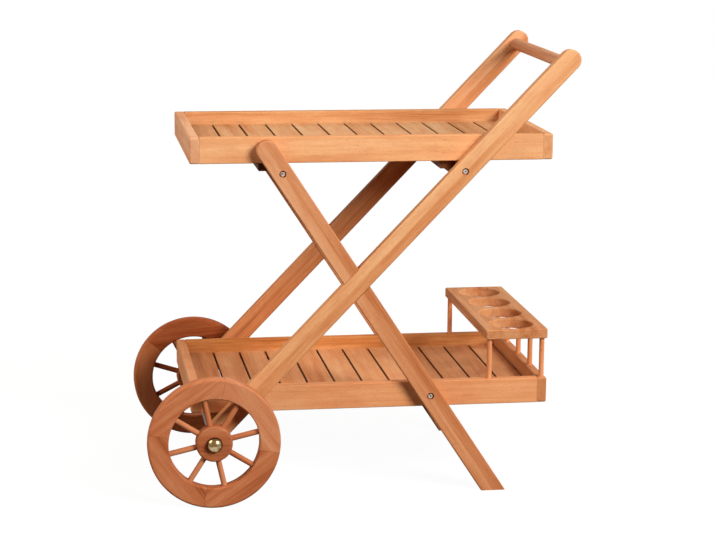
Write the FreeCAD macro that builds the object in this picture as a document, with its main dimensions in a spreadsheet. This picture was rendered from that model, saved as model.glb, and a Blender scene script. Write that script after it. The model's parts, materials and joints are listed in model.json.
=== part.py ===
import FreeCAD, Part
import os
import re

# Teak serving trolley with two slatted trays, crossed legs, two spoked wheels and a bottle rack.
# Millimetres. +X points to the handle, +Y from the front side to the back side, +Z up.
# The origin is on the floor, under the middle of the trolley's outline.
# Places are written in the maker's frame and shifted at the end: x from the wheel end of the
# trays, y from the inner faces of the front legs, z from the floor.

SIZES = {
    # Trays: boards on edge, the end boards run the full width
    "tray_length": 700,
    "leg_spacing": 410,
    "rail_height": 50,
    "rail_thickness": 19,
    "rail_round": 2,
    "corner_round": 3.5,
    "upper_base": 653,
    "lower_base": 170,
    # Slats on ledger strips
    "slat_count": 12,
    "slat_gap": 4,
    "slat_thickness": 12,
    "slat_drop": 25,
    "slat_round": 1.2,
    "slat_corner_round": 4,
    "slat_end_gap": 0.4,
    "ledger_depth": 20,
    # Corner dowels
    "dowel_radius": 4,
    "dowel_in_rail": 20,
    "dowel_in_end": 11,
    "dowel_pitch": 20,
    # Legs
    "leg_width": 40,
    "leg_thickness": 22,
    "leg_round": 3,
    "long_angle": 46.3,
    "long_reach": 994,
    "axle_inset": 39,
    "short_angle": 56.65,
    "foot_inset": 592,
    "short_top": 679,
    # Handle bar
    "handle_radius": 12,
    "handle_setback": 10,
    "handle_socket": 12,
    # Cross rails and cleats under the upper tray
    "cross_width": 22,
    "cross_height": 36,
    "cross_round": 2,
    "cleat_width": 31,
    "cleat_thickness": 18,
    "cleat_inset": 22,
    "cleat_round": 2,
    # Wheels
    "wheel_radius": 127,
    "rim_depth": 40,
    "rim_thickness": 25,
    "rim_outer_round": 5,
    "rim_inner_round": 3,
    "felloe_count": 4,
    "spokes_per_felloe": 2,
    "spoke_radius": 5.5,
    "spoke_in_rim": 11,
    "spoke_in_hub": 12,
    "hub_radius": 35,
    "hub_length": 28,
    "hub_round": 4,
    "boss_radius": 22,
    "boss_length": 18,
    "front_wheel_angle": -9.7,
    "back_wheel_angle": 50,
    # Axle
    "axle_radius": 6,
    "washer_radius": 13,
    "washer_thickness": 1.6,
    "running_gap": 0.3,
    "running_fit": 0.05,
    "cap_radius": 15,
    "cap_flange": 1.5,
    "cap_dome": 11,
    "cap_grip": 6,
    # Bolts, barrel nuts and threaded inserts
    "bolt_radius": 2.5,
    "bolt_head_radius": 4.25,
    "bolt_head_height": 5,
    "bolt_socket_radius": 2.3,
    "bolt_socket_depth": 2.5,
    "counterbore_radius": 6.8,
    "counterbore_depth": 7,
    "barrel_radius": 5,
    "barrel_length": 14,
    "barrel_setback": 24,
    "insert_radius": 5,
    "insert_length": 12,
    # Bottle rack
    "rack_length": 124,
    "rack_thickness": 19,
    "rack_round": 2,
    "rack_corner_round": 4,
    "rack_clear_height": 79,
    "bottle_count": 4,
    "bottle_radius": 43,
    "bottle_pitch": 100,
    "post_radius": 5,
    "post_tenon": 8,
    # Fits and cuts
    "joint_fit": 0.05,
    "cut_overrun": 1,
}

# Named formulas, worked out from the sizes
SIDE_RAIL_LENGTH = "(tray_length - 2 * rail_thickness)"
SLAT_WIDTH = f"(({SIDE_RAIL_LENGTH} - (slat_count + 1) * slat_gap) / slat_count)"
SLAT_LENGTH = "(leg_spacing - 2 * rail_thickness - 2 * slat_end_gap)"
LEDGER_HEIGHT = "(rail_height - slat_drop - slat_thickness)"
UPPER_BOLT_Z = "(upper_base - cross_height / 2)"
LOWER_BOLT_Z = "(lower_base + rail_height / 2)"
LEG_CROSSING = "(180 - long_angle - short_angle)"
LEG_RUN = "(foot_inset - axle_inset)"
CROSSING_ON_LONG = (f"(({LEG_RUN} * sin(short_angle) - wheel_radius * cos(short_angle))"
                    " / sin(long_angle + short_angle))")
CROSSING_ON_SHORT = (f"(({LEG_RUN} * sin(long_angle) + wheel_radius * cos(long_angle))"
                     " / sin(long_angle + short_angle))")
WHEEL_END_X = "(axle_inset - wheel_radius)"
HANDLE_END_X = "(axle_inset + long_reach * cos(long_angle) + leg_width / 2)"
MIDDLE_X = f"(({WHEEL_END_X} + {HANDLE_END_X}) / 2)"
RIM_INNER_RADIUS = "(wheel_radius - rim_depth)"
HUB_START = "(leg_thickness + washer_thickness + running_gap + boss_length)"
OUTER_WASHER_START = f"({HUB_START} + hub_length + running_gap)"
CAP_START = f"({OUTER_WASHER_START} + washer_thickness)"
RACK_START = "(tray_length - rack_length)"
RACK_BASE = "(lower_base + rail_height + rack_clear_height)"
RAIL_MIDDLE = "(rail_thickness / 2)"
FAR_RAIL_MIDDLE = f"(leg_spacing - {RAIL_MIDDLE})"
UPPER_BOLT_REACH = "(leg_thickness - counterbore_depth + barrel_setback + barrel_radius)"
LOWER_BOLT_REACH = "(leg_thickness - counterbore_depth + insert_length)"

X_WAY = FreeCAD.Vector(1, 0, 0)
Y_WAY = FreeCAD.Vector(0, 1, 0)
Z_WAY = FreeCAD.Vector(0, 0, 1)
TURNS = {
    "x": FreeCAD.Rotation(Z_WAY, X_WAY),
    "y": FreeCAD.Rotation(Z_WAY, Y_WAY),
    "-y": FreeCAD.Rotation(Z_WAY, -Y_WAY),
    "z": FreeCAD.Rotation(),
}
# A cylinder along y whose seam faces -x, for the tops of the legs
SEAM_BACK = FreeCAD.Rotation(-X_WAY, Z_WAY, Y_WAY, "ZXY")
START_ANGLE = 45
SAME = 1e-6

doc = FreeCAD.newDocument("trolley")
sheet = doc.addObject("Spreadsheet::Sheet", "dims")
nodes = []


def fill_sheet():
    """One row for each driving size, with its name as the cell's alias."""
    for row, (alias, value) in enumerate(SIZES.items(), 1):
        sheet.set(f"A{row}", alias)
        sheet.set(f"B{row}", str(value))
        sheet.setAlias(f"B{row}", alias)
    doc.recompute()


def formula(text):
    """Point each size's name in the text at its cell."""
    return re.sub(r"[a-z_]+", lambda word: cell_name(word.group()), text)


def cell_name(word):
    return f"dims.{word}" if word in SIZES else word


def bind(thing, **sizes):
    for name, text in sizes.items():
        thing.setExpression(name, formula(text))


def seat(thing, x, y, z):
    for axis, text in zip("xyz", (x, y, z)):
        thing.setExpression(f"Placement.Base.{axis}", formula(text))


def seat_piece(piece, x, y, z):
    """Seat a whole piece at a place in the maker's frame."""
    seat(piece, f"{x} - {MIDDLE_X}", f"{y} - leg_spacing / 2", z)


def turn(thing, way, angle):
    thing.Placement = FreeCAD.Placement(FreeCAD.Vector(), FreeCAD.Rotation(way, START_ANGLE))
    thing.setExpression("Placement.Rotation.Angle", formula(angle))


def add_body(label, is_node=True):
    body = doc.addObject("PartDesign::Body", label)
    body.Label = label
    if is_node:
        nodes.append(body)
    return body


def add_group(label, pieces):
    """Like pieces that share one node, each its own solid."""
    group = doc.addObject("Part::Compound", label)
    group.Label = label
    group.Links = pieces
    nodes.append(group)


def block(body, length, width, height, x="0", y="0", z="0", cut=False):
    kind = "Subtractive" if cut else "Additive"
    feature = body.newObject(f"PartDesign::{kind}Box", "block")
    bind(feature, Length=length, Width=width, Height=height)
    seat(feature, x, y, z)
    return feature


def rod(body, radius, length, way, x="0", y="0", z="0", cut=False):
    kind = "Subtractive" if cut else "Additive"
    feature = body.newObject(f"PartDesign::{kind}Cylinder", "rod")
    feature.Placement = FreeCAD.Placement(FreeCAD.Vector(), TURNS[way])
    bind(feature, Radius=radius, Height=length)
    seat(feature, x, y, z)
    return feature


def peg(label, radius, length, way, x, y, z):
    """A plain round piece seated in the maker's frame."""
    piece = doc.addObject("Part::Cylinder", label)
    piece.Placement = FreeCAD.Placement(FreeCAD.Vector(), TURNS[way])
    bind(piece, Radius=radius, Height=length)
    seat_piece(piece, x, y, z)
    return piece


def pierced(label, outer, inner):
    """A peg with another peg's shape taken out of it."""
    piece = doc.addObject("Part::Cut", label)
    piece.Base = outer
    piece.Tool = inner
    return piece


def soften(body, radius, wanted):
    """Round the wanted edges of the body as it stands."""
    doc.recompute()
    base = body.Tip
    names = [f"Edge{n}" for n, edge in enumerate(base.Shape.Edges, 1) if wanted(edge)]
    fillet = body.newObject("PartDesign::Fillet", "softened")
    fillet.Base = (base, names)
    bind(fillet, Radius=radius)


def runs_along(way):
    """True for straight edges along the way."""
    def wanted(edge):
        if not isinstance(edge.Curve, Part.Line):
            return False
        return edge.Curve.Direction.cross(way).Length < SAME
    return wanted


def lies_across_y(edge):
    """True for the outline edges of a piece's front and back faces."""
    return edge.BoundBox.YLength < SAME


def lies_across_z(edge):
    return edge.BoundBox.ZLength < SAME


def is_round(edge):
    return isinstance(edge.Curve, Part.Circle)


def dowel_heights():
    return [f"(rail_height / 2 {sign} dowel_pitch / 2)" for sign in "-+"]


def make_side_rail(label, base, y, bolt_face, bolt_places, post_places):
    """A tray's front or back rail, with dowel holes in its ends.

    bolt_places and post_places are x along the tray, and bolt_face is the outer face's y."""
    rail = add_body(label)
    block(rail, SIDE_RAIL_LENGTH, "rail_thickness", "rail_height")
    soften(rail, "rail_round", runs_along(X_WAY))
    depth = "(dowel_in_rail + cut_overrun)"
    for z in dowel_heights():
        for x in ("-cut_overrun", f"{SIDE_RAIL_LENGTH} - dowel_in_rail"):
            rod(rail, "dowel_radius + joint_fit", depth, "x", x, RAIL_MIDDLE, z, cut=True)
    start = "-cut_overrun" if bolt_face == "0" else "rail_thickness - insert_length"
    for x in bolt_places:
        rod(rail, "insert_radius + joint_fit", "insert_length + cut_overrun", "y",
            f"{x} - rail_thickness", start, "rail_height / 2", cut=True)
    for x in post_places:
        rod(rail, "post_radius + joint_fit", "post_tenon + cut_overrun", "z",
            f"{x} - rail_thickness", RAIL_MIDDLE, "rail_height - post_tenon", cut=True)
    seat_piece(rail, "rail_thickness", y, base)


def make_end_board(label, base, x, inner_face, post_places):
    """A tray's end board over its full width. inner_face is the x of its inner face."""
    board = add_body(label)
    block(board, "rail_thickness", "leg_spacing", "rail_height")
    inner_x = sheet.get("rail_thickness") if inner_face == "rail_thickness" else 0

    def wanted(edge):
        upright = runs_along(Z_WAY)(edge)
        return not (upright and abs(edge.BoundBox.XMin - inner_x) < SAME)

    soften(board, "corner_round", wanted)
    start = "rail_thickness - dowel_in_end" if inner_face == "rail_thickness" else "-cut_overrun"
    for z in dowel_heights():
        for y in (RAIL_MIDDLE, FAR_RAIL_MIDDLE):
            rod(board, "dowel_radius + joint_fit", "dowel_in_end + cut_overrun", "x",
                start, y, z, cut=True)
    for y in post_places:
        rod(board, "post_radius + joint_fit", "post_tenon + cut_overrun", "z",
            RAIL_MIDDLE, y, "rail_height - post_tenon", cut=True)
    seat_piece(board, x, "0", base)


def make_slats(name, base):
    for number in range(int(sheet.get("slat_count"))):
        slat = add_body(f"{name}_slat_{number + 1:02d}")
        block(slat, SLAT_WIDTH, SLAT_LENGTH, "slat_thickness")
        soften(slat, "slat_corner_round", runs_along(Z_WAY))
        soften(slat, "slat_round", lies_across_z)
        x = f"rail_thickness + slat_gap + {number} * ({SLAT_WIDTH} + slat_gap)"
        seat_piece(slat, x, "rail_thickness + slat_end_gap", f"{base} + {LEDGER_HEIGHT}")


def make_ledgers(name, base):
    strips = []
    for y in ("rail_thickness", "leg_spacing - rail_thickness - ledger_depth"):
        strip = doc.addObject("Part::Box", f"{name}_ledger")
        bind(strip, Length=SIDE_RAIL_LENGTH, Width="ledger_depth", Height=LEDGER_HEIGHT)
        seat_piece(strip, "rail_thickness", y, base)
        strips.append(strip)
    add_group(f"{name}_ledgers", strips)


def make_tray_dowels(name, base):
    pegs = []
    length = "dowel_in_rail + dowel_in_end"
    for x in ("rail_thickness - dowel_in_end", "tray_length - rail_thickness - dowel_in_rail"):
        for y in (RAIL_MIDDLE, FAR_RAIL_MIDDLE):
            for z in dowel_heights():
                pegs.append(peg(f"{name}_dowel", "dowel_radius", length, "x", x, y, f"{base} + {z}"))
    add_group(f"{name}_tray_dowels", pegs)


def make_tray(name, base, bolt_places, side_posts, end_posts):
    back_y = "leg_spacing - rail_thickness"
    make_side_rail(f"{name}_front_rail", base, "0", "0", bolt_places, side_posts)
    make_side_rail(f"{name}_back_rail", base, back_y, "rail_thickness", bolt_places, side_posts)
    make_end_board(f"{name}_wheel_end", base, "0", "rail_thickness", [])
    make_end_board(f"{name}_handle_end", base, "tray_length - rail_thickness", "0", end_posts)
    make_slats(name, base)
    make_ledgers(name, base)
    make_tray_dowels(name, base)


def long_leg_x(z):
    """Where the long legs' centre line passes a height."""
    return f"(axle_inset + ({z} - wheel_radius) / tan(long_angle))"


def short_leg_x(z):
    return f"(foot_inset - {z} / tan(short_angle))"


def drill_leg(leg, where, radius, face, depth):
    """A round hole across a leg, from its low or high y face."""
    start = "-cut_overrun" if face == "low" else f"leg_thickness - {depth}"
    rod(leg, radius, f"{depth} + cut_overrun", "y", where, start, "0", cut=True)


def drill_bolt(leg, where, outer):
    drill_leg(leg, where, "bolt_radius + joint_fit", outer, "(leg_thickness + cut_overrun)")
    drill_leg(leg, where, "counterbore_radius", outer, "counterbore_depth")


def cut_lap(leg, where, angle, face):
    """Take half the thickness out where the other leg crosses at this angle."""
    start = "-cut_overrun" if face == "low" else "leg_thickness / 2"
    x = f"{where} - leg_width * cos{angle} + leg_width / 2 * sin{angle}"
    z = f"-leg_width * sin{angle} - leg_width / 2 * cos{angle}"
    notch = block(leg, "2 * leg_width", "leg_thickness / 2 + cut_overrun", "leg_width", cut=True)
    turn(notch, -Y_WAY, angle)
    seat(notch, x, start, z)


def round_top(leg, reach):
    top = rod(leg, "leg_width / 2", "leg_thickness", "y", reach)
    top.Placement = FreeCAD.Placement(FreeCAD.Vector(), SEAM_BACK)


def make_long_leg(side, y, outer, inner):
    """From the axle up to the handle, drawn along its own x from the axle's centre."""
    leg = add_body(f"{side}_long_leg")
    block(leg, "long_reach", "leg_thickness", "leg_width", "0", "0", "-leg_width / 2")
    rod(leg, "leg_width / 2", "leg_thickness", "y")
    round_top(leg, "long_reach")
    soften(leg, "leg_round", lies_across_y)
    cut_lap(leg, CROSSING_ON_LONG, LEG_CROSSING, inner)
    drill_leg(leg, "0", "axle_radius + joint_fit", outer, "(leg_thickness + cut_overrun)")
    drill_leg(leg, "long_reach - handle_setback", "handle_radius + joint_fit", inner, "handle_socket")
    for z in (LOWER_BOLT_Z, UPPER_BOLT_Z):
        drill_bolt(leg, f"({z} - wheel_radius) / sin(long_angle)", outer)
    turn(leg, -Y_WAY, "long_angle")
    seat_piece(leg, "axle_inset", y, "wheel_radius")


def make_short_leg(side, y, outer, inner):
    """From the foot up beside the upper tray, drawn along its own x from the floor."""
    leg = add_body(f"{side}_short_leg")
    reach = "short_top / sin(short_angle)"
    block(leg, f"{reach} + leg_width", "leg_thickness", "leg_width", "-leg_width", "0", "-leg_width / 2")
    round_top(leg, reach)
    soften(leg, "leg_round", lies_across_y)
    lean = "(180 - short_angle)"
    floor_cut = block(leg, "4 * leg_width", "leg_thickness + 2 * cut_overrun", "2 * leg_width", cut=True)
    turn(floor_cut, Y_WAY, lean)
    seat(floor_cut, f"-2 * leg_width * (cos{lean} + sin{lean})", "-cut_overrun",
         f"2 * leg_width * (sin{lean} - cos{lean})")
    cut_lap(leg, CROSSING_ON_SHORT, f"(-{LEG_CROSSING})", outer)
    for z in (LOWER_BOLT_Z, UPPER_BOLT_Z):
        drill_bolt(leg, f"{z} / sin(short_angle)", outer)
    turn(leg, -Y_WAY, lean)
    seat_piece(leg, "foot_inset", y, "0")


def make_handle():
    bar = add_body("handle_bar")
    rod(bar, "handle_radius", "leg_spacing + 2 * handle_socket", "y")
    reach = "(long_reach - handle_setback)"
    seat_piece(bar, f"axle_inset + {reach} * cos(long_angle)", "-handle_socket",
               f"wheel_radius + {reach} * sin(long_angle)")


def make_cross_rail(label, x):
    """A rail between the legs, under the upper tray, bored for a bolt and a barrel nut at each end."""
    rail = add_body(label)
    block(rail, "cross_width", "leg_spacing", "cross_height")
    soften(rail, "cross_round", runs_along(Y_WAY))
    middle = "cross_width / 2"
    depth = "(barrel_setback + barrel_radius + cut_overrun)"
    for start, nut_y in (("-cut_overrun", "barrel_setback"),
                         (f"leg_spacing - {depth}", "leg_spacing - barrel_setback")):
        rod(rail, "bolt_radius + joint_fit", f"{depth} + cut_overrun", "y",
            middle, start, "cross_height / 2", cut=True)
        rod(rail, "barrel_radius + joint_fit", "cross_height / 2 + barrel_length / 2 + cut_overrun", "z",
            middle, nut_y, "-cut_overrun", cut=True)
    seat_piece(rail, f"{x} - cross_width / 2", "0", "upper_base - cross_height")


def make_cleat(label, rail_x):
    """A strip under the upper tray, against the wheel side of a cross rail and short of its ends."""
    cleat = add_body(label, is_node=False)
    block(cleat, "cleat_width", "leg_spacing - 2 * cleat_inset", "cleat_thickness")
    soften(cleat, "cleat_round", lambda edge: runs_along(Y_WAY)(edge) and lies_across_z(edge)
           and edge.BoundBox.ZMin < SAME and edge.BoundBox.XMin < SAME)
    seat_piece(cleat, f"{rail_x} - cross_width / 2 - cleat_width", "cleat_inset",
               "upper_base - cleat_thickness")
    return cleat


def make_felloe(label):
    """A quarter of a wheel's rim about the y axis, with the spokes' sockets in it."""
    felloe = add_body(label, is_node=False)
    sweep = "360 / felloe_count"
    rim = rod(felloe, "wheel_radius", "rim_thickness", "y", y="-rim_thickness / 2")
    bind(rim, Angle=sweep)
    rod(felloe, RIM_INNER_RADIUS, "rim_thickness + 2 * cut_overrun", "y",
        y="-rim_thickness / 2 - cut_overrun", cut=True)
    middle_radius = sheet.get("wheel_radius") - sheet.get("rim_depth") / 2
    soften(felloe, "rim_outer_round", lambda edge: is_round(edge) and edge.Curve.Radius > middle_radius)
    inner = sheet.get("wheel_radius") - sheet.get("rim_depth")
    soften(felloe, "rim_inner_round", lambda edge: is_round(edge) and abs(edge.Curve.Radius - inner) < SAME)
    for number in range(int(sheet.get("spokes_per_felloe"))):
        socket = rod(felloe, "spoke_radius + joint_fit", f"{RIM_INNER_RADIUS} + spoke_in_rim", "z", cut=True)
        turn(socket, Y_WAY, spoke_angle(number))
    return felloe


def make_wheel(side, phase, y, boss_start):
    """Rim of felloes, turned hub and round spokes about the axle.

    The hub has a boss on its inner side that keeps the rim off the legs."""
    felloe_total = int(sheet.get("felloe_count"))
    felloes = []
    for number in range(felloe_total):
        felloe = make_felloe(f"{side}_felloe")
        turn(felloe, Y_WAY, f"{number} * 360 / felloe_count - {phase}")
        seat_piece(felloe, "axle_inset", y, "wheel_radius")
        felloes.append(felloe)
    add_group(f"{side}_wheel_rim", felloes)

    hub = add_body(f"{side}_wheel_hub")
    rod(hub, "hub_radius", "hub_length", "y", y="-hub_length / 2")
    soften(hub, "hub_round", is_round)
    rod(hub, "boss_radius", "hub_length / 2 + boss_length", "y", y=boss_start)
    rod(hub, "axle_radius + running_fit", "hub_length + 2 * boss_length + 2 * cut_overrun", "y",
        y="-hub_length / 2 - boss_length - cut_overrun", cut=True)
    spokes = []
    spoke_total = felloe_total * int(sheet.get("spokes_per_felloe"))
    hub_floor = "(hub_radius - spoke_in_hub)"
    for number in range(spoke_total):
        socket = rod(hub, "spoke_radius + joint_fit", "spoke_in_hub + cut_overrun", "z", cut=True)
        angle = spoke_angle(number)
        turn(socket, Y_WAY, angle)
        seat(socket, f"{hub_floor} * sin({angle})", "0", f"{hub_floor} * cos({angle})")
        spokes.append(make_spoke(f"{side}_spoke", angle, phase, y, hub_floor))
    turn(hub, Y_WAY, f"-{phase}")
    seat_piece(hub, "axle_inset", y, "wheel_radius")
    add_group(f"{side}_wheel_spokes", spokes)


def spoke_angle(number):
    """A spoke's turn about y from straight up, before the wheel is turned."""
    return f"(90 + ({number} + 1 / 2) * 360 / felloe_count / spokes_per_felloe)"


def make_spoke(label, angle, phase, y, start):
    spoke = doc.addObject("Part::Cylinder", label)
    whole = f"({angle} - {phase})"
    turn(spoke, Y_WAY, whole)
    bind(spoke, Radius="spoke_radius", Height=f"{RIM_INNER_RADIUS} + spoke_in_rim - {start}")
    seat_piece(spoke, f"axle_inset + {start} * sin{whole}", y, f"wheel_radius + {start} * cos{whole}")
    return spoke


def make_axle():
    axle = add_body("axle_rod")
    rod(axle, "axle_radius", f"leg_spacing + 2 * {CAP_START} + 2 * cap_grip", "y")
    seat_piece(axle, "axle_inset", f"-{CAP_START} - cap_grip", "wheel_radius")

    washers = []
    for start in ("leg_thickness", OUTER_WASHER_START):
        for y in (f"-{start} - washer_thickness", f"leg_spacing + {start}"):
            place = ("axle_inset", y, "wheel_radius")
            disc = peg("washer_disc", "washer_radius", "washer_thickness", "y", *place)
            hole = peg("washer_hole", "axle_radius + joint_fit", "washer_thickness", "y", *place)
            washers.append(pierced("washer", disc, hole))
    add_group("axle_washers", washers)


def make_cap(side, way, y):
    """A dome pushed on the axle's end."""
    cap = add_body(f"{side}_axle_cap")
    rod(cap, "cap_radius", "cap_flange", "z")
    dome = cap.newObject("PartDesign::AdditiveEllipsoid", "dome")
    bind(dome, Radius1="cap_dome", Radius2="cap_radius", Radius3="cap_radius")
    dome.Angle1 = 0
    seat(dome, "0", "0", "cap_flange")
    rod(cap, "axle_radius + joint_fit", "cap_grip + joint_fit + cut_overrun", "z", z="-cut_overrun", cut=True)
    cap.Placement = FreeCAD.Placement(FreeCAD.Vector(), TURNS[way])
    seat_piece(cap, "axle_inset", y, "wheel_radius")


def make_bolt(x, z, reach, way, y):
    """Socket-head bolt along its own z, from the head's outer face inwards."""
    bolt = add_body("leg_bolt", is_node=False)
    rod(bolt, "bolt_head_radius", "bolt_head_height", "z")
    rod(bolt, "bolt_radius", reach, "z", z="bolt_head_height")
    socket = bolt.newObject("PartDesign::SubtractivePrism", "socket")
    bind(socket, Circumradius="bolt_socket_radius", Height="bolt_socket_depth + cut_overrun")
    seat(socket, "0", "0", "-cut_overrun")
    bolt.Placement = FreeCAD.Placement(FreeCAD.Vector(), TURNS[way])
    seat_piece(bolt, x, y, z)
    return bolt


def make_bolts():
    """Eight bolts, with barrel nuts in the cross rails and inserts in the lower tray's rails."""
    bolts = []
    nuts = []
    inserts = []
    head = "(leg_thickness - counterbore_depth + bolt_head_height)"
    for way, head_y, nut_y, insert_y in (
            ("y", f"-{head}", "barrel_setback", "0"),
            ("-y", f"leg_spacing + {head}", "leg_spacing - barrel_setback", "leg_spacing - insert_length")):
        for leg_x in (long_leg_x, short_leg_x):
            upper_x = leg_x(UPPER_BOLT_Z)
            bolts.append(make_bolt(upper_x, UPPER_BOLT_Z, UPPER_BOLT_REACH, way, head_y))
            nut = peg("nut_body", "barrel_radius", "barrel_length", "z",
                      upper_x, nut_y, f"{UPPER_BOLT_Z} - barrel_length / 2")
            thread = peg("nut_thread", "bolt_radius + joint_fit", "4 * barrel_radius", "y",
                         upper_x, f"{nut_y} - 2 * barrel_radius", UPPER_BOLT_Z)
            nuts.append(pierced("barrel_nut", nut, thread))

            lower_x = leg_x(LOWER_BOLT_Z)
            bolts.append(make_bolt(lower_x, LOWER_BOLT_Z, LOWER_BOLT_REACH, way, head_y))
            place = (lower_x, insert_y, LOWER_BOLT_Z)
            sleeve = peg("insert_sleeve", "insert_radius", "insert_length", "y", *place)
            thread = peg("insert_thread", "bolt_radius + joint_fit", "insert_length", "y", *place)
            inserts.append(pierced("threaded_insert", sleeve, thread))
    add_group("leg_bolts", bolts)
    add_group("barrel_nuts", nuts)
    add_group("threaded_inserts", inserts)


def rack_post_rows():
    """Post places on the side rails (x along the tray) and on the end board (y across it)."""
    gaps = int(sheet.get("bottle_count")) - 1
    between = [f"leg_spacing / 2 + ({number} - {gaps - 1} / 2) * bottle_pitch" for number in range(gaps)]
    return [f"{RACK_START} + {RAIL_MIDDLE}"], [RAIL_MIDDLE, *between, FAR_RAIL_MIDDLE]


def make_rack(side_posts, end_posts):
    """Bottle board on posts over the handle end of the lower tray."""
    end_x = f"tray_length - {RAIL_MIDDLE}"
    places = [(x, y) for x in side_posts for y in (RAIL_MIDDLE, FAR_RAIL_MIDDLE)]
    places += [(end_x, y) for y in end_posts]

    board = add_body("bottle_board")
    block(board, "rack_length", "leg_spacing", "rack_thickness")
    bottles = int(sheet.get("bottle_count"))
    for number in range(bottles):
        y = f"leg_spacing / 2 + ({number} - {bottles - 1} / 2) * bottle_pitch"
        rod(board, "bottle_radius", "rack_thickness + 2 * cut_overrun", "z",
            "rack_length / 2", y, "-cut_overrun", cut=True)
    soften(board, "rack_corner_round", runs_along(Z_WAY))
    soften(board, "rack_round", lies_across_z)
    for x, y in places:
        rod(board, "post_radius + joint_fit", "post_tenon + cut_overrun", "z",
            f"{x} - {RACK_START}", y, "-cut_overrun", cut=True)
    seat_piece(board, RACK_START, "0", RACK_BASE)

    length = "rack_clear_height + 2 * post_tenon"
    base = "lower_base + rail_height - post_tenon"
    posts = [peg("rack_post", "post_radius", length, "z", x, y, base) for x, y in places]
    add_group("rack_posts", posts)


def make_trolley():
    side_posts, end_posts = rack_post_rows()
    lower_bolts = [long_leg_x(LOWER_BOLT_Z), short_leg_x(LOWER_BOLT_Z)]
    make_tray("upper", "upper_base", [], [], [])
    make_tray("lower", "lower_base", lower_bolts, side_posts, end_posts)
    for side, y, outer, inner in (("front", "-leg_thickness", "low", "high"),
                                  ("back", "leg_spacing", "high", "low")):
        make_long_leg(side, y, outer, inner)
        make_short_leg(side, y, outer, inner)
    make_handle()
    wheel_rail_x = short_leg_x(UPPER_BOLT_Z)
    handle_rail_x = long_leg_x(UPPER_BOLT_Z)
    make_cross_rail("wheel_side_cross_rail", wheel_rail_x)
    make_cross_rail("handle_side_cross_rail", handle_rail_x)
    add_group("tray_cleats", [make_cleat("tray_cleat", x) for x in (wheel_rail_x, handle_rail_x)])
    hub_middle = f"({HUB_START} + hub_length / 2)"
    make_wheel("front", "front_wheel_angle", f"-{hub_middle}", "0")
    make_wheel("back", "back_wheel_angle", f"leg_spacing + {hub_middle}", "-hub_length / 2 - boss_length")
    make_axle()
    make_cap("front", "-y", f"-{CAP_START}")
    make_cap("back", "y", f"leg_spacing + {CAP_START}")
    make_bolts()
    make_rack(side_posts, end_posts)


def check_and_write():
    """Stop on any failed object or bad shape, then write one file for each node."""
    doc.recompute()
    for thing in doc.Objects:
        if "Invalid" in thing.State or "Error" in thing.State:
            raise RuntimeError(f"{thing.Label} failed: {thing.State}")
    for node in nodes:
        if node.Shape.isNull() or not node.Shape.isValid():
            raise RuntimeError(f"{node.Label} has no valid shape")
    os.makedirs("parts", exist_ok=True)
    for node in nodes:
        node.Shape.exportStep(os.path.join("parts", f"{node.Label}.step"))
        print(node.Label, len(node.Shape.Solids), round(node.Shape.Volume))


fill_sheet()
make_trolley()
check_and_write()
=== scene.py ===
"""Looks of the teak serving trolley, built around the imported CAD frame. Metres, +Z up."""

import json
import math
import random

import bpy
from mathutils import Matrix, Vector


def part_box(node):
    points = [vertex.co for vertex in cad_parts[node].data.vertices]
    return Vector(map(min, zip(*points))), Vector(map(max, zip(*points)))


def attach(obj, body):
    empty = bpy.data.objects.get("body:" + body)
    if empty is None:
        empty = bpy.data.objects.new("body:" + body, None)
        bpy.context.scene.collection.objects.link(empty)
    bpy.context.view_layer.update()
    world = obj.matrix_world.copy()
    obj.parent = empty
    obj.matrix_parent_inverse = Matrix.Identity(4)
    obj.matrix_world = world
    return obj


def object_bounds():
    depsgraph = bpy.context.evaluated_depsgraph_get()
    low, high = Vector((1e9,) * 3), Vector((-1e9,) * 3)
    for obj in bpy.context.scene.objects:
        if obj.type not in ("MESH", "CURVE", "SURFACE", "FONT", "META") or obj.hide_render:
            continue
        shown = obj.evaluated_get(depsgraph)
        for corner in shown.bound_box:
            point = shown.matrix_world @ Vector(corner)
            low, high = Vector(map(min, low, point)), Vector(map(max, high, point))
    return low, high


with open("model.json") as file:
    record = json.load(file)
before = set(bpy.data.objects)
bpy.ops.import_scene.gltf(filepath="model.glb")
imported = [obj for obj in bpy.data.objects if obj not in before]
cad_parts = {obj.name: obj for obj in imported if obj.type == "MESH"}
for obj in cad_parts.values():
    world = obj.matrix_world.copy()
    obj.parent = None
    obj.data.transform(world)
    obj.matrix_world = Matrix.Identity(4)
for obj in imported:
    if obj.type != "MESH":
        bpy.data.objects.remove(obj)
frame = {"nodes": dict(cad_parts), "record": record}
cad_low, cad_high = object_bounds()

MM = 0.001
X_WAY = Vector((1, 0, 0))
Y_WAY = Vector((0, 1, 0))
Z_WAY = Vector((0, 0, 1))
SIDES = ("front", "back")
ENDS = ("wheel", "handle")
TRAYS = ("upper", "lower")
WHITE = (1.0, 1.0, 1.0, 1.0)

# Camera: where it stands, how it is turned, and its lens on its sensor
CAMERA_PLACE = (-0.607, -4.0007, 1.2187)
CAMERA_DOWN = math.radians(11.396)
CAMERA_ROLL = math.radians(0.516)
CAMERA_YAW = math.radians(-8.983)
CAMERA_LENS = 102.755
CAMERA_SENSOR = 36

# Lamps: a soft key from the right of the front, a warm fill from the wheel end, and one behind
KEY_FROM = Vector((0.72, -1.0, 0.62))
KEY_DISTANCE = 6.0
KEY_SIZE = 2.5
KEY_POWER = 485
FILL_FROM = Vector((-1.0, -0.3, 0.62))
FILL_DISTANCE = 5.0
FILL_SIZE = 3.0
FILL_POWER = 190
FILL_COLOUR = (1.0, 0.9, 0.82)
BACK_FROM = Vector((0.3, 1.0, 0.35))
BACK_DISTANCE = 5.0
BACK_SIZE = 3.0
BACK_POWER = 150

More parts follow.
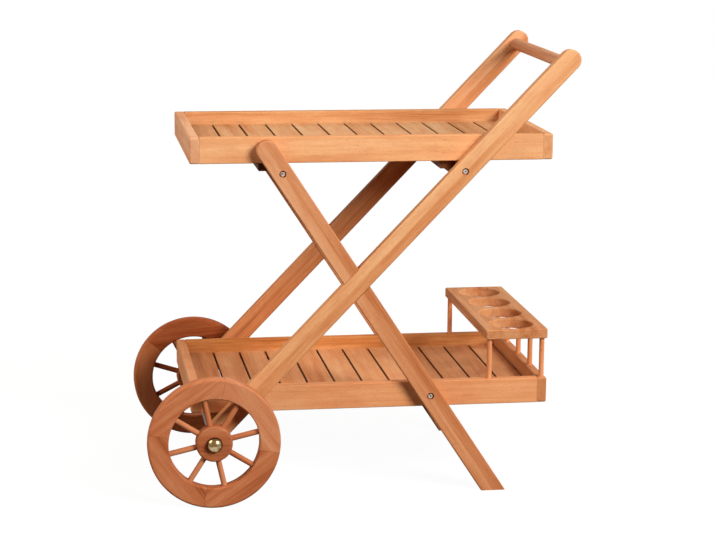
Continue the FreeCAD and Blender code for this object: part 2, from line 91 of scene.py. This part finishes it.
# Sky: weak and warm as light, and white to the camera
SKY_LIGHT = 0.05
SKY_COLOUR = (1.0, 0.86, 0.74, 1.0)

# Floor: its grey to bounced light and to the camera, its glow, and where its shadow fades out
FLOOR_SIZE = 14
FLOOR_BOUNCE = 0.03
FLOOR_PALE = 0.9
FLOOR_GLOW = 1.02
FLOOR_GLOW_SHARE = 0.93
SHADOW_FADE = (0.9, 2.0)

# Counts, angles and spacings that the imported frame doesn't give
SLATS_IN_TRAY = 12
FELLOES_IN_WHEEL = 4
SPOKES_IN_WHEEL = 8
LEG_LEAN = {"long": math.radians(46.3), "short": math.radians(180 - 56.65)}
WHEEL_TURN = {"front": math.radians(-9.7), "back": math.radians(50)}
BOTTLE_PITCH = 100 * MM

# Nail heads: how far in from a ledger's side and clear of a rail, how far clear of a cleat, and their sizes
BRAD_INSET = 10 * MM
BRAD_CLEAR = 40 * MM
BRAD_RADIUS = 2.4 * MM
BRAD_CROWN = 1.6 * MM
BRAD_HEIGHT = 0.7 * MM
BRAD_SIDES = 16

# The middle of every noise, which runs from 0 to 1
NOISE_MIDDLE = 0.5


def srgb(red, green, blue):
    """A colour given as 0 to 255 on screen, as the linear colour that the shaders take."""
    def linear(value):
        share = value / 255
        return share / 12.92 if share <= 0.04045 else ((share + 0.055) / 1.055) ** 2.4
    return (linear(red), linear(green), linear(blue), 1.0)


def grey(level):
    return (level, level, level, 1.0)


class Wire:
    """One output in a shader tree. Arithmetic on it adds Math nodes."""

    def __init__(self, finish, socket):
        self.finish = finish
        self.socket = socket

    def math(self, operation, *others):
        return self.finish.node("Math", dict(enumerate((self, *others))), operation=operation)

    def __add__(self, other):
        return self.math("ADD", other)

    def __sub__(self, other):
        return self.math("SUBTRACT", other)

    def __rsub__(self, other):
        return self.finish.node("Math", {0: other, 1: self}, operation="SUBTRACT")

    def __mul__(self, other):
        return self.math("MULTIPLY", other)

    def __truediv__(self, other):
        return self.math("DIVIDE", other)

    __radd__ = __add__

    def size(self):
        return self.math("ABSOLUTE")

    def swing(self, reach):
        """Noise as a swing about zero, reach wide."""
        return (self - NOISE_MIDDLE) * reach

    def ramp(self, start, end, low=0.0, high=1.0):
        """Runs smoothly from low to high as this goes from start to end."""
        sockets = {"Value": self, "From Min": start, "From Max": end, "To Min": low, "To Max": high}
        return self.finish.node("MapRange", sockets, interpolation_type="SMOOTHSTEP")


class Finish:
    """The shader tree of a material or of the world. node() adds any node to it."""

    def __init__(self, owner):
        self.owner = owner
        owner.use_nodes = True
        self.tree = owner.node_tree
        self.tree.nodes.clear()

    def node(self, kind, sockets, output=0, stops=(), **settings):
        node = self.tree.nodes.new("ShaderNode" + kind)
        for name, value in settings.items():
            setattr(node, name, value)
        for number, (place, colour) in enumerate(stops):
            ramp = node.color_ramp.elements
            stop = ramp[number] if number < len(ramp) else ramp.new(place)
            stop.position = place
            stop.color = colour
        for name, value in sockets.items():
            if isinstance(value, Wire):
                self.tree.links.new(value.socket, node.inputs[name])
            else:
                node.inputs[name].default_value = value
        return Wire(self, node.outputs[output]) if node.outputs else None

    def vector(self, operation, *values, output=0):
        return self.node("VectorMath", dict(enumerate(values)), output, operation=operation)

    def length(self, vector):
        return self.vector("LENGTH", vector, output="Value")

    def scaled(self, vector, factor):
        return self.node("VectorMath", {0: vector, "Scale": factor}, operation="SCALE")

    def split(self, vector):
        return [self.node("SeparateXYZ", {0: vector}, axis) for axis in range(3)]

    def noise(self, place, waves, detail=2.0, rough=0.5, output="Fac"):
        """Noise with so many waves a metre along each axis."""
        stretched = self.vector("MULTIPLY", place, waves)
        sockets = {"Vector": stretched, "Scale": 1.0, "Detail": detail, "Roughness": rough}
        return self.node("TexNoise", sockets, output)

    def luck(self, number):
        """A fixed random value from 0 to 1 for each number."""
        return self.node("TexWhiteNoise", {"W": number}, "Value", noise_dimensions="1D")

    def mix(self, share, first, second):
        """One colour laid over another by a share. The numbers are the Mix node's colour sockets."""
        return self.node("Mix", {0: share, 6: first, 7: second}, 2, data_type="RGBA")

    def bump(self, strength, relief, height):
        """A bumped normal. relief is how far a height of one stands out, in metres."""
        return self.node("Bump", {"Strength": strength, "Distance": relief, "Height": height})

    def close(self, **sockets):
        """Ends a material in a Principled shader. Words in the names are joined by underscores."""
        named = {name.replace("_", " "): value for name, value in sockets.items()}
        self.node("OutputMaterial", {"Surface": self.node("BsdfPrincipled", named)})
        return self.owner


def new_finish(name):
    return Finish(bpy.data.materials.new(name))


def object_place(finish):
    return finish.node("TexCoord", {}, "Object")


def object_normal(finish):
    return finish.node("TexCoord", {}, "Normal")


def middle_of(node):
    low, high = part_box(node)
    return (low + high) / 2


def dress(node, material):
    """Gives a CAD node its finish."""
    mesh = frame["nodes"][node].data
    mesh.materials.clear()
    mesh.materials.append(material)


def board_axes(finish, place, normal, middle, run, across):
    """A place and a normal in a board's own axes: along the grain, across it, into it."""
    depth = run.cross(across).normalized()
    across = depth.cross(run).normalized()
    turn = Matrix((run.normalized(), across, depth)).transposed().to_euler()
    own_place = finish.node("Mapping", {"Vector": place, "Location": middle, "Rotation": turn},
                            vector_type="TEXTURE")
    own_normal = finish.node("Mapping", {"Vector": normal, "Rotation": turn}, vector_type="TEXTURE")
    return own_place, own_normal


def own_axes(finish, middle, run, across):
    """Object places and normals in the axes of a board about the given middle."""
    return board_axes(finish, object_place(finish), object_normal(finish), middle, run, across)


# Teak colours from palest to darkest, the share at which plain wood lies, and the colours of its marks
TEAK_STOPS = [
    (0.0, srgb(241, 186, 134)),
    (0.42, srgb(227, 161, 107)),
    (0.72, srgb(205, 130, 77)),
    (1.0, srgb(158, 88, 47)),
]
TEAK_MIDDLE = 0.42
TEAK_PORE = srgb(118, 62, 34)
TEAK_RUDDY = srgb(206, 122, 74)
TEAK_END = srgb(196, 128, 78)
# The seam colour darkens joint lines, and it is also painted shade on the slats' sides in the gaps
TEAK_SEAM_AND_SHADE = srgb(84, 42, 22)

# Noise of the grain: waves a metre along, across and into the board, then detail and roughness
WANDER_NOISE = ((1.3, 5, 5), 2.0, 0.5)
HEART_NOISE = ((1.8, 22, 22), 2.0, 0.5)
BAND_NOISE = ((4.5, 75, 75), 2.0, 0.5)
STREAK_NOISE = ((12, 260, 260), 3.0, 0.6)
FIBRE_NOISE = ((40, 1100, 1100), 2.0, 0.6)
PORE_NOISE = ((110, 2000, 2000), 1.0, 0.5)
RUDDY_NOISE = ((13, 34, 34), 2.0, 0.5)

# How far each kind of grain moves the tone, and where and how strongly each mark shows
HEART_SWING = 0.8
BAND_SWING = 0.6
STREAK_SWING = 0.4
FIBRE_SWING = 0.25
PORE_RAMP = (0.6, 0.74)
PORE_SHARE = 0.4
RUDDY_RAMP = (0.45, 0.72)
RUDDY_SHARE = 0.3
END_GRAIN_RAMP = (0.7, 0.96)
END_GRAIN_SHARE = 0.3

# Where a board is cut from the tree: its random shift, the bend of its grain, and the rings about the pith
SHIFT_REACH = 9
PIECE_SPREAD = (31, 17, 23)
BEND_REACH = 0.016
EITHER_WAY = (-1, 1)
PITH_ACROSS = (0.02, 0.06)
PITH_DEEP = (0.05, 0.1)
RING_STRETCH = (0.01, 1, 1)
RINGS_IN_METRE = 210
RING_MEAN = 0.33
RING_SHARE = 0.1
END_RING_SHARE = 0.2

# Surface of the oiled wood: roughness, shine, and the heights that the bump takes
TEAK_ROUGH = 0.62
FIBRE_ROUGH = 0.2
END_GRAIN_ROUGH = 0.15
PORE_ROUGH = 0.15
TEAK_SPECULAR = 0.06
FIBRE_HEIGHT = 0.6
STREAK_HEIGHT = 0.4
SEAM_DEPTH = 2.0
TEAK_BUMP = 0.2
TEAK_RELIEF = 0.4 * MM


def teak(finish, place, normal, seed, number=None, vary=0.3, deeper=0.0, seam=None,
         tone=1.0, tint=(1, 1, 1), figure=1.0):
    """Closes a teak material on places along, across and into a board.

    number tells apart the pieces that share a node, and vary is how much their colours differ.
    deeper shifts the wood to its darker colours, seam darkens it towards the seam colour, as a dark joint
    line on rails and rims and as painted shade on the slats' sides; tone and tint multiply the colour, and
    figure scales the strength of the grain."""
    draw = random.Random(seed)
    shift = tuple(draw.uniform(-SHIFT_REACH, SHIFT_REACH) for _ in range(3))
    pith_across = draw.choice(EITHER_WAY) * draw.uniform(*PITH_ACROSS)
    pith_deep = draw.choice(EITHER_WAY) * draw.uniform(*PITH_DEEP)
    moved = finish.vector("ADD", place, shift)
    if number is not None:
        luck = finish.luck(number + seed)
        moved = finish.vector("ADD", moved, finish.scaled(PIECE_SPREAD, luck))
        deeper = deeper + luck.swing(vary)

    wander = finish.noise(moved, *WANDER_NOISE, output="Color")
    bend = finish.scaled(finish.vector("SUBTRACT", wander, (NOISE_MIDDLE,) * 3), BEND_REACH)
    bent = finish.vector("ADD", moved, bend)
    heart = finish.noise(bent, *HEART_NOISE)
    band = finish.noise(bent, *BAND_NOISE)
    streak = finish.noise(bent, *STREAK_NOISE)
    fibre = finish.noise(bent, *FIBRE_NOISE)
    pore = finish.noise(bent, *PORE_NOISE).ramp(*PORE_RAMP)
    ruddy = finish.noise(bent, *RUDDY_NOISE).ramp(*RUDDY_RAMP)
    pith = (0.0, pith_across, pith_deep)
    from_pith = finish.vector("SUBTRACT", finish.vector("ADD", place, bend), pith)
    ring = finish.length(finish.vector("MULTIPLY", from_pith, RING_STRETCH))
    ring = (ring * RINGS_IN_METRE).math("FRACT")
    ring = ring * ring - RING_MEAN

    end_grain = finish.split(normal)[0].size().ramp(*END_GRAIN_RAMP)
    grain = heart.swing(HEART_SWING) + band.swing(BAND_SWING)
    grain = grain + streak.swing(STREAK_SWING) + fibre.swing(FIBRE_SWING)
    grain = grain * figure + ring * (band * RING_SHARE + end_grain * END_RING_SHARE)
    colour = finish.node("ValToRGB", {0: grain + TEAK_MIDDLE + deeper}, stops=TEAK_STOPS)
    colour = finish.mix(ruddy * RUDDY_SHARE, colour, TEAK_RUDDY)
    colour = finish.mix(end_grain * END_GRAIN_SHARE, colour, TEAK_END)
    colour = finish.mix(pore * PORE_SHARE, colour, TEAK_PORE)
    if seam is not None:
        colour = finish.mix(seam, colour, TEAK_SEAM_AND_SHADE)
    level = tuple(tone * part for part in tint)
    colour = finish.vector("MULTIPLY", colour, level)

    rough = fibre.swing(FIBRE_ROUGH) + end_grain * END_GRAIN_ROUGH + pore * PORE_ROUGH + TEAK_ROUGH
    height = fibre * FIBRE_HEIGHT + streak * STREAK_HEIGHT - pore
    if seam is not None:
        height = height - seam * SEAM_DEPTH
    bump = finish.bump(TEAK_BUMP, TEAK_RELIEF, height)
    return finish.close(Base_Color=colour, Roughness=rough, Normal=bump, Specular_IOR_Level=TEAK_SPECULAR)


def teak_board(node, run, across, seed, **looks):
    """A single board with its grain along run."""
    finish = new_finish("teak_" + node)
    place, normal = own_axes(finish, middle_of(node), run, across)
    dress(node, teak(finish, place, normal, seed, **looks))


# The line at a rail's end: where it begins and where it is full, from the end, and how dark it is
RAIL_SEAM_BEGIN = 1.2 * MM
RAIL_SEAM_FULL = 0.2 * MM
RAIL_SEAM_DARK = 0.35


def teak_rail(node, seed, **looks):
    """A tray's side rail, with a dark line where each end meets the end board."""
    finish = new_finish("teak_" + node)
    place, normal = own_axes(finish, middle_of(node), X_WAY, Z_WAY)
    low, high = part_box(node)
    half = (high.x - low.x) / 2
    along = finish.split(place)[0].size()
    seam = along.ramp(half - RAIL_SEAM_BEGIN, half - RAIL_SEAM_FULL) * RAIL_SEAM_DARK
    dress(node, teak(finish, place, normal, seed, seam=seam, **looks))


# How far a face has to turn to a slat's side to count as its edge, and how dark the painted shade on that
# edge is
SLAT_EDGE_RAMP = (0.8, 0.98)
SLAT_GAP_SHADE = 0.75


def teak_slat(node, seed, **looks):
    """A tray slat, darkened on its two long edges as painted shade in the gaps between slats."""
    finish = new_finish("teak_" + node)
    place, normal = own_axes(finish, middle_of(node), Y_WAY, X_WAY)
    # Painted shade: the slat's sides, down in the gaps, are darkened towards the seam colour
    edge = finish.split(normal)[1].size().ramp(*SLAT_EDGE_RAMP) * SLAT_GAP_SHADE
    dress(node, teak(finish, place, normal, seed, seam=edge, **looks))


def teak_pair(node, run, across, seed, apart, **looks):
    """Two like strips in one node, told apart by the axis, 0 to 2, that they lie apart on."""
    finish = new_finish("teak_" + node)
    spot = object_place(finish)
    middle = middle_of(node)
    number = finish.split(spot)[apart].math("GREATER_THAN", middle[apart])
    place, normal = board_axes(finish, spot, object_normal(finish), middle, run, across)
    dress(node, teak(finish, place, normal, seed, number=number, **looks))


# Seeds of a tray's pieces count up from the tray's own, and those of its slats from ten further on
TRAY_SEEDS = {"upper": 100, "lower": 200}
SLATS_FROM = 10
SLAT_TONE_SEEDS = {"upper": 531, "lower": 2346}
SLAT_DEEPER = (-0.06, 0.14)
TRAY_TINTS_AND_SHADE = {
    "upper": {"front": (0.95, 0.95, 0.98), "back": (0.79, 0.85, 0.88),
              "wheel_end": (0.96, 1.08, 1.38), "handle_end": (0.93, 0.98, 1.07),
              "slats": (0.88, 0.98, 1.09)},
    # The lower tray's tints are darker as painted shade, for the light falling off downwards and the shade
    # under the upper tray
    "lower": {"front": (0.88, 0.79, 0.78), "back": (0.77, 0.71, 0.56),
              "wheel_end": (0.72, 0.63, 0.61), "handle_end": (0.71, 0.61, 0.58),
              "slats": (0.81, 0.77, 0.79)},
}


def slat_name(tray, slat):
    return f"{tray}_slat_{slat:02d}"


def dress_trays():
    for tray in TRAYS:
        first = TRAY_SEEDS[tray]
        tints = TRAY_TINTS_AND_SHADE[tray]
        teak_rail(f"{tray}_front_rail", first + 1, tint=tints["front"])
        teak_rail(f"{tray}_back_rail", first + 2, deeper=0.1, tint=tints["back"], figure=1.4)
        teak_board(f"{tray}_wheel_end", Y_WAY, Z_WAY, first + 3, tint=tints["wheel_end"])
        teak_board(f"{tray}_handle_end", Y_WAY, Z_WAY, first + 4, tint=tints["handle_end"])
        teak_pair(f"{tray}_ledgers", X_WAY, Z_WAY, first + 5, apart=1, tone=0.55)
        teak_pair(f"{tray}_tray_dowels", X_WAY, Z_WAY, first + 6, apart=0, tone=1.05)
        draw = random.Random(SLAT_TONE_SEEDS[tray])
        for slat in range(1, SLATS_IN_TRAY + 1):
            deeper = draw.uniform(*SLAT_DEEPER)
            seed = first + SLATS_FROM + slat
            teak_slat(slat_name(tray, slat), seed, deeper=deeper, tint=tints["slats"])


def leg_line(side, kind):
    """A point on a leg's centre line and the way that it runs: from the axle, or from the foot."""
    lean = LEG_LEAN[kind]
    run = Vector((math.cos(lean), 0, math.sin(lean)))
    if kind == "long":
        return middle_of(f"{side}_wheel_hub"), run
    foot = [mount["pos_m"] for mount in frame["record"]["mounts"] if mount["name"] == f"{side}_foot"]
    return Vector(foot[0]), run


# How far up a leg its painted shade at the low end reaches, half the blend at the glue line, and how much
# its strips vary
LEG_LOW_SHADE_REACH = 0.75
LEG_BLEND = 2 * MM
LEG_VARY = 0.04


def glued_leg(side, kind, seed, low_side, high_side, low_end_shade, tint):
    """A leg glued up from two strips, each with its own depth of colour, both darkened at the low end as
    painted shade.
    """
    node = f"{side}_{kind}_leg"
    finish = new_finish("teak_" + node)
    point, run = leg_line(side, kind)
    place, normal = own_axes(finish, point, run, Y_WAY.cross(run))
    along, across, _ = finish.split(place)
    strip = across.math("GREATER_THAN", 0.0)
    deeper = across.ramp(-LEG_BLEND, LEG_BLEND, low_side, high_side)
    # Painted shade: the leg grows darker towards its low end
    deeper = deeper + along.ramp(0.0, LEG_LOW_SHADE_REACH, low_end_shade, 0.0)
    dress(node, teak(finish, place, normal, seed, number=strip, vary=LEG_VARY, deeper=deeper, tint=tint))


def dress_legs():
    # The low-end values are painted shade for the light falling off towards the floor, and they are larger
    # on the back legs, which stand in deeper shade
    glued_leg("front", "long", 302, low_side=-0.08, high_side=0.06, low_end_shade=0.24, tint=(0.88, 0.89, 0.92))
    # The back long leg's deeper high side is partly painted shadow, cast by the near leg and the handle bar
    glued_leg("back", "long", 306, low_side=-0.08, high_side=0.1, low_end_shade=0.36, tint=(0.89, 0.88, 0.93))
    glued_leg("front", "short", 324, low_side=-0.08, high_side=0.06, low_end_shade=0.2, tint=(0.79, 0.73, 0.77))
    glued_leg("back", "short", 332, low_side=-0.06, high_side=0.06, low_end_shade=0.42, tint=(0.81, 0.75, 0.77))


# Added to the numbers of the posts along the end board, so that no two posts share one
POST_ROW_STEP = 10


def dress_rack_posts():
    """Round posts, told apart by their places along and across the tray."""
    finish = new_finish("teak_rack_posts")
    spot = object_place(finish)
    middle = middle_of("rack_posts")
    x, y, _ = finish.split(spot)
    number = (y / BOTTLE_PITCH).math("ROUND") + x.math("GREATER_THAN", middle.x) * POST_ROW_STEP
    place, normal = board_axes(finish, spot, object_normal(finish), middle, Z_WAY, X_WAY)
    dress("rack_posts", teak(finish, place, normal, 406, number=number, deeper=0.1, tint=(0.95, 0.83, 0.85)))


def dress_frame_pieces():
    teak_board("handle_bar", Y_WAY, Z_WAY, 401, deeper=0.2, tint=(0.94, 1.1, 1.5))
    # Painted shade: the cross rails and the cleats under the upper tray are toned darker, standing for the
    # shade beneath it
    teak_board("wheel_side_cross_rail", Y_WAY, Z_WAY, 402, tone=0.6, deeper=0.16)
    teak_board("handle_side_cross_rail", Y_WAY, Z_WAY, 403, tone=0.6, deeper=0.16)
    teak_pair("tray_cleats", Y_WAY, X_WAY, 404, apart=0, tone=0.45, deeper=0.16)
    teak_board("bottle_board", Y_WAY, X_WAY, 405, tone=0.78, tint=(1.0, 0.97, 1.0), figure=1.6)
    dress_rack_posts()


def wheel_sector(finish, side, sectors):
    """Object places turned about the axle so that every sector lies along +x from the hub.

    Gives the place, the normal, the sector's number and the share of the sector passed."""
    middle = middle_of(f"{side}_wheel_hub")
    spot = finish.vector("SUBTRACT", object_place(finish), middle)
    x, _, z = finish.split(spot)
    sweep = 2 * math.pi / sectors
    passed = (z.math("ARCTAN2", x) - WHEEL_TURN[side]) / sweep + sectors
    number = passed.math("FLOOR")
    share = passed - number
    angle = (number + 0.5) * sweep + WHEEL_TURN[side]

    def turned(vector):
        sockets = {"Vector": vector, "Axis": Y_WAY, "Angle": angle}
        return finish.node("VectorRotate", sockets, rotation_type="AXIS_ANGLE")

    return turned(spot), turned(object_normal(finish)), number, share


# The line at a joint of the rim: where it begins and where it is full, from the joint, and how dark it is
RIM_SEAM_BEGIN = 0.9 * MM
RIM_SEAM_FULL = 0.2 * MM
RIM_SEAM_DARK = 0.34


def dress_rim(side, seed, **looks):
    """Felloes with their grain along the chord, and a fine dark line at each joint."""
    finish = new_finish(f"teak_{side}_wheel_rim")
    spot, facing, number, share = wheel_sector(finish, side, FELLOES_IN_WHEEL)
    place, normal = board_axes(finish, spot, facing, Vector(), Z_WAY, X_WAY)
    sweep = 2 * math.pi / FELLOES_IN_WHEEL
    from_joint = share.math("MINIMUM", 1 - share) * finish.length(spot) * sweep
    seam = from_joint.ramp(RIM_SEAM_BEGIN, RIM_SEAM_FULL) * RIM_SEAM_DARK
    number = number.math("MODULO", FELLOES_IN_WHEEL)
    dress(f"{side}_wheel_rim", teak(finish, place, normal, seed, number=number, seam=seam, **looks))


def dress_spokes(side, seed, **looks):
    finish = new_finish(f"teak_{side}_wheel_spokes")
    spot, facing, number, _ = wheel_sector(finish, side, SPOKES_IN_WHEEL)
    place, normal = board_axes(finish, spot, facing, Vector(), X_WAY, Z_WAY)
    number = number.math("MODULO", SPOKES_IN_WHEEL)
    dress(f"{side}_wheel_spokes", teak(finish, place, normal, seed, number=number, **looks))


# The back wheel's lower tone and redder tint are painted shade, the far wheel standing in the shade of the
# trolley
WHEEL_TONES_AND_SHADE = {"front": 0.7, "back": 0.54}
WHEEL_TINTS = {"front": (1.0, 0.8, 0.83), "back": (1.0, 0.62, 0.5)}
HUB_TONE_SHARE = 0.9
# The back rim's seed and larger vary darken its lit top felloe and lighten its shaded left one: painted
# shade and painted light
RIM_VARY = {"front": 0.4, "back": 0.5}
RIM_SEEDS = {"front": 517, "back": 1384}
SPOKE_SEEDS = {"front": 543, "back": 643}
HUB_SEEDS = {"front": 544, "back": 644}


def dress_wheels():
    for side in SIDES:
        tone = WHEEL_TONES_AND_SHADE[side]
        tint = WHEEL_TINTS[side]
        dress_rim(side, RIM_SEEDS[side], vary=RIM_VARY[side], tone=tone, tint=tint, deeper=0.1, figure=1.3)
        dress_spokes(side, SPOKE_SEEDS[side], tone=tone, tint=tint, deeper=0.12)
        hub_tone = tone * HUB_TONE_SHARE
        teak_board(f"{side}_wheel_hub", X_WAY, Z_WAY, HUB_SEEDS[side], tone=hub_tone, tint=tint, deeper=0.16)


# Metal: its dull patches, then the fine lines left by turning
PATCH_DETAIL = 3.0
PATCH_RAMP = (0.4, 0.62)
PATCH_ROUGH = 0.12
LINE_WAVES = (900, 4000, 900)
LINE_ROUGH = 0.1
LINE_BUMP = 0.1
LINE_RELIEF = 0.1 * MM


def metal(name, bright, dull, rough, patches):
    """Plated or polished metal, dulled in so many patches a metre and along fine turning lines."""
    finish = new_finish(name)
    place = object_place(finish)
    patch = finish.noise(place, (patches,) * 3, PATCH_DETAIL).ramp(*PATCH_RAMP)
    lines = finish.noise(place, LINE_WAVES)
    colour = finish.mix(patch, bright, dull)
    rough = patch * PATCH_ROUGH + lines.swing(LINE_ROUGH) + rough
    bump = finish.bump(LINE_BUMP, LINE_RELIEF, lines)
    return finish.close(Base_Color=colour, Metallic=1.0, Roughness=rough, Normal=bump)


# Axle caps: bright brass, its darker patches, and the darker edge between two shares of the radius, both
# painted dark reflections
CAP_BRIGHT = srgb(190, 172, 132)
CAP_DARK_REFLECTION = srgb(122, 96, 60)
CAP_RIM_REFLECTION = srgb(92, 68, 40)
CAP_EDGE_BEGIN = 0.5
CAP_EDGE_FULL = 0.97
CAP_EDGE_SHARE = 0.7
CAP_PATCHES = 95
CAP_PATCH_RAMP = (0.4, 0.58)
CAP_PATCH_ROUGH = 0.16
CAP_ROUGH = 0.1


def cap_brass():
    """Polished brass of the axle caps, with painted dark reflections in patches and towards the flange."""
    finish = new_finish("cap_brass")
    place = object_place(finish)
    low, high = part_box("front_axle_cap")
    from_middle = finish.vector("SUBTRACT", place, (low + high) / 2)
    radius = finish.length(finish.vector("MULTIPLY", from_middle, (1, 0, 1)))
    half = (high.x - low.x) / 2
    edge = radius.ramp(half * CAP_EDGE_BEGIN, half * CAP_EDGE_FULL)
    patch = finish.noise(place, (CAP_PATCHES,) * 3).ramp(*CAP_PATCH_RAMP)
    # Painted reflection: darker patches and a darker rim stand for the dark surroundings mirrored in the
    # dome
    colour = finish.mix(patch, CAP_BRIGHT, CAP_DARK_REFLECTION)
    colour = finish.mix(edge * CAP_EDGE_SHARE, colour, CAP_RIM_REFLECTION)
    return finish.close(Base_Color=colour, Metallic=1.0, Roughness=patch * CAP_PATCH_ROUGH + CAP_ROUGH)


def dress_metal():
    zinc = metal("zinc_plate", srgb(116, 110, 102), srgb(78, 70, 62), rough=0.44, patches=240)
    bolt = metal("bolt_steel", srgb(214, 196, 182), srgb(118, 102, 90), rough=0.3, patches=420)
    cap = cap_brass()
    plain = metal("insert_brass", srgb(176, 146, 82), srgb(136, 108, 58), rough=0.36, patches=240)
    for node in ("axle_rod", "axle_washers"):
        dress(node, zinc)
    for node in ("leg_bolts", "barrel_nuts"):
        dress(node, bolt)
    for side in SIDES:
        dress(f"{side}_axle_cap", cap)
    dress("threaded_inserts", plain)
    add_brads(zinc)


def over_cross_rail(x):
    """Whether a place along the upper tray lies over a cross rail or the cleat beside it."""
    for end in ENDS:
        low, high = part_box(f"{end}_side_cross_rail")
        if low.x - BRAD_CLEAR < x < high.x + BRAD_INSET:
            return True
    return False


def brad_places():
    """Under both ends of each slat, on the ledgers, clear of the rails and cleats below the upper tray."""
    places = []
    for tray in TRAYS:
        low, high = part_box(f"{tray}_ledgers")
        for slat in range(1, SLATS_IN_TRAY + 1):
            x = middle_of(slat_name(tray, slat)).x
            if tray == "upper" and over_cross_rail(x):
                continue
            places += [(x, low.y + BRAD_INSET, low.z), (x, high.y - BRAD_INSET, low.z)]
    return places


# What the tree of nail heads is given, and the kind of each
BRAD_SOCKETS = {"Points": "Geometry", "Head Radius": "Float", "Crown Radius": "Float",
                "Head Height": "Float", "Sides": "Int", "Finish": "Material"}


def brad_heads_tree():
    """Geometry Nodes tree that sets a low, tapered nail head, crown down, on every point."""
    tree = bpy.data.node_groups.new("brad_heads", "GeometryNodeTree")
    inputs = {}
    for name, kind in BRAD_SOCKETS.items():
        inputs[name] = tree.interface.new_socket(name, in_out="INPUT", socket_type="NodeSocket" + kind)
    tree.interface.new_socket("Heads", in_out="OUTPUT", socket_type="NodeSocketGeometry")

    def node(kind, **links):
        added = tree.nodes.new(kind)
        for name, source in links.items():
            socket = added.inputs[name.replace("_", " ")]
            if isinstance(source, bpy.types.NodeSocket):
                tree.links.new(source, socket)
            else:
                socket.default_value = source
        return added

    given = node("NodeGroupInput").outputs
    head = node("GeometryNodeMeshCone", Vertices=given["Sides"], Radius_Bottom=given["Head Radius"],
                Radius_Top=given["Crown Radius"], Depth=given["Head Height"]).outputs["Mesh"]
    spots = node("GeometryNodeMeshToPoints", Mesh=given["Points"]).outputs["Points"]
    heads = node("GeometryNodeInstanceOnPoints", Points=spots, Instance=head,
                 Rotation=(math.pi, 0, 0)).outputs["Instances"]
    real = node("GeometryNodeRealizeInstances", Geometry=heads).outputs["Geometry"]
    done = node("GeometryNodeSetMaterial", Geometry=real, Material=given["Finish"]).outputs["Geometry"]
    node("NodeGroupOutput", Heads=done)
    return tree, {name: socket.identifier for name, socket in inputs.items()}


def add_brads(material):
    """Nail heads that hold the slats to the ledgers, as one plain mesh."""
    points = bpy.data.meshes.new("brad_points")
    points.from_pydata(brad_places(), [], [])
    brads = bpy.data.objects.new("ledger_brads", points)
    bpy.context.scene.collection.objects.link(brads)
    tree, sockets = brad_heads_tree()
    heads = brads.modifiers.new("heads", "NODES")
    heads.node_group = tree
    values = {"Head Radius": BRAD_RADIUS, "Crown Radius": BRAD_CROWN, "Head Height": BRAD_HEIGHT,
              "Sides": BRAD_SIDES, "Finish": material}
    for name, value in values.items():
        heads[sockets[name]] = value
    shown = brads.evaluated_get(bpy.context.evaluated_depsgraph_get())
    mesh = bpy.data.meshes.new_from_object(shown)
    brads.modifiers.clear()
    brads.data = mesh
    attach(brads, "frame")


def seen_directly(finish):
    """One for what the camera sees, straight or in a shiny or clear surface."""
    rays = [finish.node("LightPath", {}, f"Is {kind} Ray") for kind in ("Camera", "Glossy", "Transmission")]
    return rays[0].math("MAXIMUM", rays[1]).math("MAXIMUM", rays[2])


def make_floor():
    """A pale floor that shows white to the camera and still takes a faint shadow."""
    bpy.ops.mesh.primitive_plane_add(size=FLOOR_SIZE)
    floor = bpy.context.object
    floor.name = "floor"
    finish = new_finish("pale_floor")
    seen = seen_directly(finish)
    colour = finish.mix(seen, grey(FLOOR_BOUNCE), grey(FLOOR_PALE))
    matt = finish.node("BsdfDiffuse", {"Color": colour})
    glow = finish.node("Emission", {"Color": WHITE, "Strength": FLOOR_GLOW})
    away = finish.length(object_place(finish))
    glow_share = away.ramp(*SHADOW_FADE, FLOOR_GLOW_SHARE, 1.0)
    surface = finish.node("MixShader", {0: seen * glow_share, 1: matt, 2: glow})
    finish.node("OutputMaterial", {"Surface": surface})
    floor.data.materials.append(finish.owner)


def make_world():
    world = bpy.data.worlds.new("white_studio")
    bpy.context.scene.world = world
    finish = Finish(world)
    seen = seen_directly(finish)
    colour = finish.mix(seen, SKY_COLOUR, WHITE)
    light = finish.node("Background", {"Color": colour, "Strength": seen * (1 - SKY_LIGHT) + SKY_LIGHT})
    finish.node("OutputWorld", {"Surface": light})


def make_lamp(name, way, distance, size, power, colour=(1, 1, 1), glare=True):
    """A square lamp that looks at the middle of the trolley. Without glare it lights but isn't reflected."""
    lamp = bpy.data.lights.new(name, "AREA")
    lamp.size = size
    lamp.energy = power
    lamp.color = colour
    thing = bpy.data.objects.new(name, lamp)
    bpy.context.scene.collection.objects.link(thing)
    target = (cad_low + cad_high) / 2
    thing.location = target + way.normalized() * distance
    thing.rotation_euler = (target - thing.location).to_track_quat("-Z", "Y").to_euler()
    thing.visible_glossy = glare


def make_camera():
    data = bpy.data.cameras.new("camera")
    data.lens = CAMERA_LENS
    data.sensor_width = CAMERA_SENSOR
    camera = bpy.data.objects.new("camera", data)
    bpy.context.scene.collection.objects.link(camera)
    turn = Matrix.Rotation(CAMERA_YAW, 4, "Z")
    turn = turn @ Matrix.Rotation(math.pi / 2 - CAMERA_DOWN, 4, "X")
    turn = turn @ Matrix.Rotation(CAMERA_ROLL, 4, "Z")
    camera.matrix_world = Matrix.Translation(CAMERA_PLACE) @ turn
    bpy.context.scene.camera = camera


dress_trays()
dress_legs()
dress_frame_pieces()
dress_wheels()
dress_metal()
make_floor()
make_world()
make_lamp("key", KEY_FROM, KEY_DISTANCE, KEY_SIZE, KEY_POWER)
make_lamp("fill", FILL_FROM, FILL_DISTANCE, FILL_SIZE, FILL_POWER, FILL_COLOUR)
make_lamp("behind", BACK_FROM, BACK_DISTANCE, BACK_SIZE, BACK_POWER, glare=False)
make_camera()
bpy.context.scene.view_settings.view_transform = "Standard"
